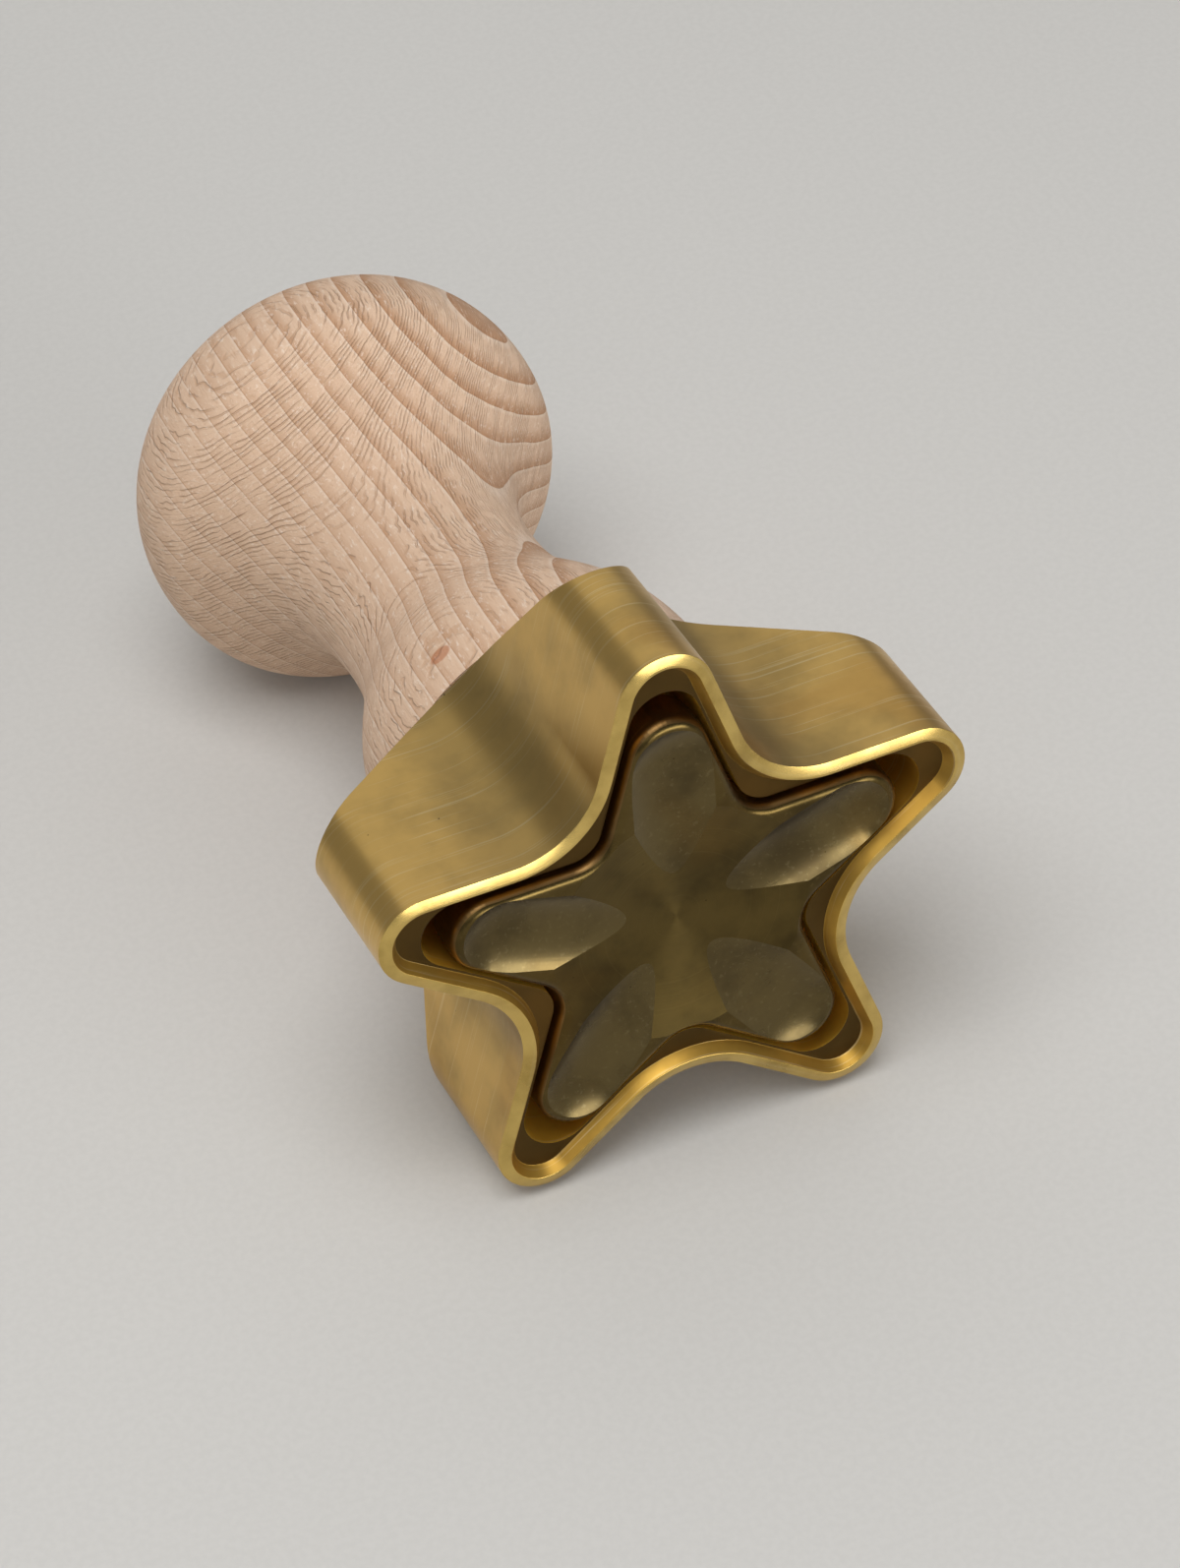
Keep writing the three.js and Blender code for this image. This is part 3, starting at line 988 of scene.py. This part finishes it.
@dataclass(frozen=True)
class EjectorPlate:
    """Brass star plate with rounded edges, a round dish, five ball-ended petals and a boss for the stem."""

    place: Placement
    cutter: CutterBody
    clearance: float = 0.55
    tip_round: float = 4.3
    recess: float = 0.1
    thickness: float = 5.7
    edge_round: float = 1.2
    edge_steps: int = 24
    edge_angle: float = math.radians(60)
    dish_radius: float = 13.9
    dish_depth: float = 1.44
    dish_steps: int = 24
    dish_turn_steps: int = 160
    petal_depth: float = 1.2
    petal_half_width: float = 4.4
    petal_end: float = 24.0
    petal_turn_steps: int = 128
    petal_rings: int = 64
    boss_radius: float = 5.0
    boss_height: float = 3.0
    socket_radius: float = 2.8
    socket_depth: float = 4.6
    overcut: float = 0.6
    crease: float = math.radians(4.6)

    @property
    def back(self) -> float:
        """Height of the plate's back."""
        return self.recess + self.thickness

    def outline(self) -> StarOutline:
        """Draws the plate's own star.

        Returns:
            The outline, clear of the opening all round.
        """
        inset = self.cutter.opening_inset + self.clearance
        valley = self.cutter.opening_valley_round + self.clearance
        return StarOutline(self.cutter.star, inset, self.tip_round, valley)

    def blank(self) -> Shell:
        """Models the plate before its dish and petals are cut.

        Returns:
            The closed shell.
        """
        star = self.outline()
        boss = RoundOutline(star, self.boss_radius)
        socket = RoundOutline(star, self.socket_radius)
        boss_end = self.back + self.boss_height
        sections = [
            Section(star, level(self.recess)),
            Section(star, level(self.back), PlateFace.SIDE),
            Section(boss, level(self.back)),
            Section(boss, level(boss_end)),
            Section(socket, level(boss_end)),
            Section(socket, level(boss_end - self.socket_depth)),
        ]
        bm = ringed_body(sections, self.cutter.star.stations)
        for face in Meshes.cap(bm):
            face.material_index = PlateFace.FRONT
        bmesh.ops.recalc_face_normals(bm, faces=bm.faces[:])
        rims = [edge for edge in bm.edges if self.is_plate_edge(edge)]
        Meshes.round_edges(bm, rims, self.edge_round, self.edge_steps)
        return bm

    def is_plate_edge(self, edge: bmesh.types.BMEdge) -> bool:
        """Tells the edges round the plate's front and back from the others.

        Args:
            edge: An edge of the blank.

        Returns:
            Whether it runs round the front or the back.
        """
        flat = abs(edge.verts[0].co.z - edge.verts[1].co.z) < TOLERANCE
        outer = min(vert.co.xy.length for vert in edge.verts) > 2 * self.boss_radius
        return flat and outer and edge.calc_face_angle(0.0) > self.edge_angle

    def dish_cutter(self) -> Shell:
        """Models the ball cap that cuts the dish: an arc from its pole, turned about the axis.

        Returns:
            The closed shell.
        """
        radius = (self.dish_radius ** 2 + self.dish_depth ** 2) / (2 * self.dish_depth)
        pole = self.recess + self.dish_depth
        sweep = math.acos(1 - (self.dish_depth + self.recess + self.overcut) / radius)
        bm = bmesh.new()
        bm.verts.new((0.0, 0.0, pole))
        bmesh.ops.spin(bm, geom=bm.verts[:], cent=(0.0, 0.0, pole - radius), axis=(0.0, 1.0, 0.0),
                       angle=sweep, steps=self.dish_steps)
        Meshes.turn(bm, self.dish_turn_steps)
        Meshes.cap(bm)
        return bm

    def petal_cutter(self, arm: int) -> Shell:
        """Models the ball-ended rod that cuts a petal.

        Args:
            arm: Number of the arm that the petal lies on.

        Returns:
            The closed shell.
        """
        radius = (self.petal_half_width ** 2 + self.petal_depth ** 2) / (2 * self.petal_depth)
        run = self.petal_end - self.petal_half_width
        lift = self.recess + self.petal_depth - radius
        bm = bmesh.new()
        bmesh.ops.create_uvsphere(bm, u_segments=self.petal_turn_steps, v_segments=self.petal_rings,
                                  radius=radius)
        outer = [vert for vert in bm.verts if vert.co.z > TOLERANCE]
        bmesh.ops.translate(bm, verts=outer, vec=(0.0, 0.0, run))
        lay = Matrix.Rotation(math.pi / 2, 3, "X")
        bmesh.ops.rotate(bm, verts=bm.verts[:], cent=ORIGIN, matrix=lay)
        bmesh.ops.translate(bm, verts=bm.verts[:], vec=(0.0, 0.0, lift))
        turn = Matrix.Rotation(2 * self.cutter.star.half * arm, 3, "Z")
        bmesh.ops.rotate(bm, verts=bm.verts[:], cent=ORIGIN, matrix=turn)
        return bm

    def build(self) -> Piece:
        """Models the plate, and cuts its dish and petals with tools that leave their finish on the cut.

        Returns:
            The new piece, with its materials.
        """
        piece = Meshes.to_piece(self.blank(), "flower_plate", self.place)
        for finish in (PATINA_AND_SHADE_PLATE_BRASS, SIDE_BRASS):
            piece.data.materials.append(finish.material(self.place))
        petal_finish = PATINA_AND_SHADE_PETAL_BRASS.material(self.place)
        tools = [("dish_cutter", self.dish_cutter(), PATINA_AND_SHADE_DISH_BRASS.material(self.place))]
        for arm in range(self.cutter.star.points):
            tools.append((f"petal_cutter_{arm}", self.petal_cutter(arm), petal_finish))
        cutters = []
        for name, bm, finish in tools:
            cutter = Meshes.to_piece(bm, name, self.place)
            cutter.data.materials.append(finish)
            cutters.append(cutter)
            cut = piece.modifiers.new(name, "BOOLEAN")
            cut.object = cutter
            cut.operation = "DIFFERENCE"
            cut.solver = "EXACT"
            cut.material_mode = "TRANSFER"
        view = bpy.context.evaluated_depsgraph_get()
        carved = bpy.data.meshes.new_from_object(piece.evaluated_get(view))
        piece.modifiers.clear()
        piece.data = carved
        for cutter in cutters:
            bpy.data.objects.remove(cutter)
        return piece

    def dress(self, piece: Piece) -> None:
        """Keeps the shallow creases of the dish and petals sharp."""
        Meshes.shade(piece, self.crease)
        Meshes.enter(piece, "ejector_plate", Body.EJECTOR, Slot.PLATE)


@dataclass(frozen=True)
class Handle:
    """Turned beech handle: flared base, slim neck, broad flattened knob, bored from its base.

    A pull is how far a curve keeps its direction at one of its ends, as a share of its run.
    """

    place: Placement
    base: float = 28.0
    base_radius: float = 19.0
    base_lip: float = 1.2
    neck_radius: float = 12.1
    neck_height: float = 30.5
    knob_radius: float = 23.4
    knob_rise: float = 26.7
    knob_crown: float = 13.8
    crown_flat: float = 6.8
    base_pull: float = 0.53
    neck_pull: float = 0.5
    throat_pull: float = 0.8
    knob_pull: float = 0.44
    shoulder_pull: float = 0.76
    crown_pull: float = 0.42
    nut_recess: float = 13.3
    nut_recess_end: float = 33.0
    insert_hole: float = 10.8
    insert_hole_end: float = 41.6
    stem_well: float = 6.0
    stem_well_end: float = 51.0
    curve_steps: int = 48
    turn_steps: int = 160
    crease: float = math.radians(40)

    def profile(self) -> list[Vector]:
        """Draws the turned outline, from the bottom of the stem well round to the crown.

        Returns:
            Its points in the XZ plane.
        """
        neck = self.base + self.neck_height
        knob = neck + self.knob_rise
        crown = knob + self.knob_crown
        bore = [
            (0.0, self.stem_well_end),
            (self.stem_well, self.stem_well_end),
            (self.stem_well, self.insert_hole_end),
            (self.insert_hole, self.insert_hole_end),
            (self.insert_hole, self.nut_recess_end),
            (self.nut_recess, self.nut_recess_end),
            (self.nut_recess, self.base),
            (self.base_radius, self.base),
        ]
        spread = self.knob_radius - self.crown_flat
        curves = [
            (
                (self.base_radius, self.base + self.base_lip),
                (self.base_radius, self.base + self.base_pull * self.neck_height),
                (self.neck_radius, neck - self.neck_pull * self.neck_height),
                (self.neck_radius, neck),
            ),
            (
                (self.neck_radius, neck),
                (self.neck_radius, neck + self.throat_pull * self.knob_rise),
                (self.knob_radius, knob - self.knob_pull * self.knob_rise),
                (self.knob_radius, knob),
            ),
            (
                (self.knob_radius, knob),
                (self.knob_radius, knob + self.shoulder_pull * self.knob_crown),
                (self.crown_flat + self.crown_pull * spread, crown),
                (self.crown_flat, crown),
            ),
        ]
        points = [Vector((radius, 0.0, height)) for radius, height in bore]
        for curve in curves:
            knots = [Vector((radius, 0.0, height)) for radius, height in curve]
            points += interpolate_bezier(*knots, self.curve_steps)
        return [*points, Vector((0.0, 0.0, crown))]

    def build(self) -> Piece:
        """Models the handle as one turned body.

        Returns:
            The new piece.
        """
        bm = bmesh.new()
        verts = [bm.verts.new(point) for point in self.profile()]
        for pair in zip(verts, verts[1:]):
            bm.edges.new(pair)
        Meshes.turn(bm, self.turn_steps)
        return Meshes.to_piece(bm, "turned_handle", self.place)

    def dress(self, piece: Piece) -> None:
        """Gives the handle its beech.

        Args:
            piece: The modelled handle.
        """
        piece.data.materials.append(RawBeech().material(self.place))
        Meshes.shade(piece, self.crease)
        Meshes.enter(piece, "handle", Body.STAMP, Slot.BEECH)


@dataclass(frozen=True)
class ReturnSpring:
    """Coil spring between the plate's back and its seat on the spigot."""

    place: Placement
    finish: DrawnSteel = DrawnSteel("bright spring steel", line=(3.0, 3.0, 0.3))
    mean_radius: float = 6.4
    wire: float = 1.2
    turns: float = 4.5
    front: float = 6.1
    seat: float = 20.0
    gap: float = 0.3
    travel: float = 8.0
    wire_sides: int = 12
    turn_steps: int = 40

    def build(self) -> Piece:
        """Winds the wire by a stepped turn that climbs to the seat.

        Returns:
            The new piece.
        """
        bm = bmesh.new()
        bmesh.ops.create_circle(bm, segments=self.wire_sides, radius=self.wire / 2)
        stand = Matrix.Rotation(math.pi / 2, 3, "X")
        bmesh.ops.rotate(bm, verts=bm.verts[:], cent=ORIGIN, matrix=stand)
        start = (self.mean_radius, 0.0, self.front + self.wire / 2)
        bmesh.ops.translate(bm, verts=bm.verts[:], vec=start)
        steps = round(self.turns * self.turn_steps)
        climb = self.seat - self.gap - self.wire - self.front
        bmesh.ops.spin(bm, geom=[*bm.verts, *bm.edges], cent=ORIGIN, axis=AXIS,
                       dvec=(0.0, 0.0, climb / steps), angle=2 * math.pi * self.turns, steps=steps)
        Meshes.cap(bm)
        return Meshes.to_piece(bm, "coil_spring", self.place)

    def dress(self, piece: Piece) -> None:
        """Gives the spring its steel.

        Args:
            piece: The modelled spring.
        """
        piece.data.materials.append(self.finish.material(self.place))
        piece.data.shade_smooth()
        Meshes.enter(piece, "return_spring", Body.STAMP, Slot.STEEL)
        seat = self.place.matrix() @ Vector((0.0, 0.0, self.seat))
        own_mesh(piece)


@dataclass(frozen=True)
class InnerFittings:
    """The fittings inside the stamp, which keep their CAD shape."""

    place: Placement
    brass_nodes: tuple[str, ...] = ("handle_spigot", "spigot_nut", "guide_bush", "handle_insert")
    steel_nodes: tuple[str, ...] = ("ejector_stem", "stop_washer", "stem_nut", "stem_lock_nut")

    def dress(self) -> dict[str, str]:
        """Gives each fitting its metal.

        Returns:
            The name of each fitting's finish.
        """
        brass = FITTING_BRASS.material(self.place)
        steel = DrawnSteel().material(self.place)
        finishes = {**dict.fromkeys(self.brass_nodes, brass), **dict.fromkeys(self.steel_nodes, steel)}
        for name, finish in finishes.items():
            node = frame["nodes"][name]
            node.data.materials.clear()
            node.data.materials.append(finish)
        return {name: finish.name for name, finish in finishes.items()}


@dataclass(frozen=True)
class Lamp:
    """A soft panel aimed at the stamp. Lengths are metres in the row frame, power watts, spread degrees."""

    name: str
    place: Triple
    width: float
    height: float
    power: float
    spread: float = 180.0

    def build(self, target: Vector) -> None:
        """Hangs the lamp.

        Args:
            target: The point that it faces.
        """
        data = bpy.data.lights.new(self.name, "AREA")
        data.shape = "RECTANGLE"
        data.size = self.width
        data.size_y = self.height
        data.energy = self.power
        data.spread = math.radians(self.spread)
        lamp = bpy.data.objects.new(self.name, data)
        lamp.location = self.place
        lamp.rotation_euler = (Vector(self.place) - target).to_track_quat("Z", "Y").to_euler()
        bpy.context.scene.collection.objects.link(lamp)


@dataclass(frozen=True)
class Studio:
    """Plain pale floor, soft lamps and the camera of the photograph. Lengths are metres, angles degrees."""

    floor_radius: float = 3.0
    floor_sides: int = 96
    floor_colour: str = "#CFCDC9"
    floor_speck: str = "#CCCAC6"
    floor_speck_size: float = 0.0008
    floor_roughness: float = 0.9
    floor_specular: float = 0.1
    sky: str = "#FFFFFF"
    sky_strength: float = 0.25
    target: Triple = (-0.008633, -0.047487, 0.049845)
    azimuth: float = -23.1236
    elevation: float = 42.2595
    roll: float = -2.7398
    distance: float = 0.5408
    lens: float = 130.23
    clip_start: float = 0.01
    lamps: tuple[Lamp, ...] = (
        Lamp("overhead lamp", (-0.25, -0.2, 1.1), 0.8, 0.8, 8.6),
        Lamp("back lamp", (0.3, 1.05, 0.9), 1.7, 1.1, 2.3),
        Lamp("front lamp", (0.35, -1.0, 0.25), 1.0, 0.3, 1.7, 100.0),
        Lamp("camera side lamp", (-0.5, -0.8, 0.7), 0.6, 0.6, 0.75),
    )

    def build_floor(self) -> None:
        """Lays a plain pale floor with a faint paper grain."""
        bm = bmesh.new()
        bmesh.ops.create_circle(bm, cap_ends=True, segments=self.floor_sides, radius=self.floor_radius)
        mesh = bpy.data.meshes.new("pale_floor")
        bm.to_mesh(mesh)
        bm.free()
        floor = bpy.data.objects.new("pale_floor", mesh)
        bpy.context.scene.collection.objects.link(floor)
        # Matte paper: an even pale grey without a shine. Its real grain is finer than a render shows, so it
        # is drawn 0.8 mm wide.
        graph = ShaderGraph("pale matte paper")
        source = graph.add("ShaderNodeTexCoord", {}, "Object")
        speck = graph.grain(source, [self.floor_speck_size] * 3, Detail=3.0)
        graph.feed(graph.surface, {
            "Base Color": graph.tint(linear(self.floor_colour), self.floor_speck, speck, NOISE_BAND, 1.0),
            "Roughness": self.floor_roughness,
            "Specular IOR Level": self.floor_specular,
        })
        mesh.materials.append(graph.material)

    def build_light(self) -> None:
        """Hangs the lamps in a soft even surround."""
        world = bpy.data.worlds.new("studio surround")
        world.use_nodes = True
        surround = world.node_tree.nodes["Background"]
        surround.inputs["Color"].default_value = linear(self.sky)
        surround.inputs["Strength"].default_value = self.sky_strength
        bpy.context.scene.world = world
        for lamp in self.lamps:
            lamp.build(Vector(self.target))
        bpy.context.scene.view_settings.view_transform = "Standard"

    def build_camera(self) -> None:
        """Sets the camera where the photograph was taken from."""
        around = math.radians(self.azimuth)
        up = math.radians(self.elevation)
        back = Vector((math.sin(around) * math.cos(up), -math.cos(around) * math.cos(up), math.sin(up)))
        data = bpy.data.cameras.new("photo_camera")
        data.lens = self.lens
        data.clip_start = self.clip_start
        camera = bpy.data.objects.new("photo_camera", data)
        camera.location = Vector(self.target) + back * self.distance
        roll = Quaternion(AXIS, math.radians(self.roll))
        camera.rotation_euler = (back.to_track_quat("Z", "Y") @ roll).to_euler()
        bpy.context.scene.collection.objects.link(camera)
        bpy.context.scene.camera = camera

    def build(self) -> None:
        """Sets up floor, light and camera."""
        self.build_floor()
        self.build_light()
        self.build_camera()


def main() -> None:
    """Builds and dresses the stamp piece by piece, and sets up the studio."""
    logging.basicConfig(level=logging.INFO, format="%(name)s: %(message)s")
    place = Placement.of_frame()
    cutter = CutterBody(place)
    for part in (cutter, EjectorPlate(place, cutter), Handle(place), ReturnSpring(place)):
        piece = part.build()
        part.dress(piece)
        LOG.info("%s built with %d faces", piece.name, len(piece.data.polygons))
    for name, finish in InnerFittings(place).dress().items():
        LOG.info("%s keeps its CAD shape, in %s", name, finish)
    studio = Studio()
    studio.build()
    LOG.info("studio set up with %d lamps", len(studio.lamps))


if __name__ == "__main__":
    main()
